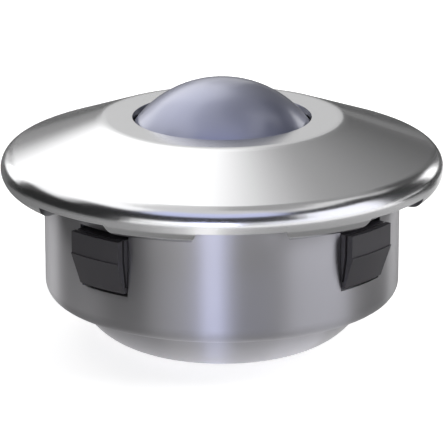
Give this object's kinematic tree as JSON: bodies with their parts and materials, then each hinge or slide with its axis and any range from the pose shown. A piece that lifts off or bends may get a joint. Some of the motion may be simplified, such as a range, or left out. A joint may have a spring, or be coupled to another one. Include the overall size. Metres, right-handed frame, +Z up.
{
  "type": "ball transfer unit",
  "caption": "Ball transfer unit: a load ball on a bed of small balls in a drawn round housing with spring clips, under a pressed cover with a rolled rim.",
  "frame": {"origin": "on the axis, at the bottom of the boss; the seat that rests on the table is 16.15 mm above it", "axes": "+Z up along the axis, the way the load ball stands out; +X and +Y lie midway between two clips, which are at 45, 135, 225 and 315 degrees"},
  "size_m": [0.0446, 0.0446, 0.0269],
  "materials": {
    "housing_steel": "drawn stainless sheet, satin",
    "cover_steel": "pressed stainless sheet, fine satin",
    "cup_steel": "hardened steel, ground inside",
    "ball_steel": "hardened steel ball, finely ground",
    "support_steel": "hardened steel balls, polished",
    "keeper_plastic": "moulded, matt",
    "felt": "oiled pressed felt",
    "clip_plastic": "moulded, satin dark grey"
  },
  "bodies": {
    "housing": {"housing": "housing_steel", "cover": "cover_steel", "load_cup": "cup_steel", "keeper_ring": "keeper_plastic", "seal_ring": "felt"},
    "ball_bed": {"support_row_1": "support_steel", "support_row_2": "support_steel", "support_row_3": "support_steel", "support_row_4": "support_steel", "support_row_5": "support_steel", "support_row_6": "support_steel", "support_row_7": "support_steel"},
    "load_ball": {"load_ball": "ball_steel"},
    "clip_1": {"clip_1": "clip_plastic"},
    "clip_2": {"clip_2": "clip_plastic"},
    "clip_3": {"clip_3": "clip_plastic"},
    "clip_4": {"clip_4": "clip_plastic"}
  },
  "joints": [
    {"name": "bed_turn", "type": "hinge", "parent": "housing", "child": "ball_bed", "pos_m": [0, 0, 0.01578], "axis": [0, 0, 1], "continuous": true},
    {"name": "ball_turn", "type": "hinge", "parent": "ball_bed", "child": "load_ball", "pos_m": [0, 0, 0.01578], "axis": [1, 0, 0], "continuous": true},
    {"name": "clip_1_press", "type": "hinge", "parent": "housing", "child": "clip_1", "pos_m": [0.01237, 0.01237, 0.0094], "axis": [0.7071, -0.7071, 0], "range_deg": [0, 19], "stiffness_Nm_per_rad": 0.26, "springref_deg": -2.86},
    {"name": "clip_2_press", "type": "hinge", "parent": "housing", "child": "clip_2", "pos_m": [-0.01237, 0.01237, 0.0094], "axis": [0.7071, 0.7071, 0], "range_deg": [0, 19], "stiffness_Nm_per_rad": 0.26, "springref_deg": -2.86},
    {"name": "clip_3_press", "type": "hinge", "parent": "housing", "child": "clip_3", "pos_m": [-0.01237, -0.01237, 0.0094], "axis": [-0.7071, 0.7071, 0], "range_deg": [0, 19], "stiffness_Nm_per_rad": 0.26, "springref_deg": -2.86},
    {"name": "clip_4_press", "type": "hinge", "parent": "housing", "child": "clip_4", "pos_m": [0.01237, -0.01237, 0.0094], "axis": [-0.7071, -0.7071, 0], "range_deg": [0, 19], "stiffness_Nm_per_rad": 0.26, "springref_deg": -2.86}
  ]
}
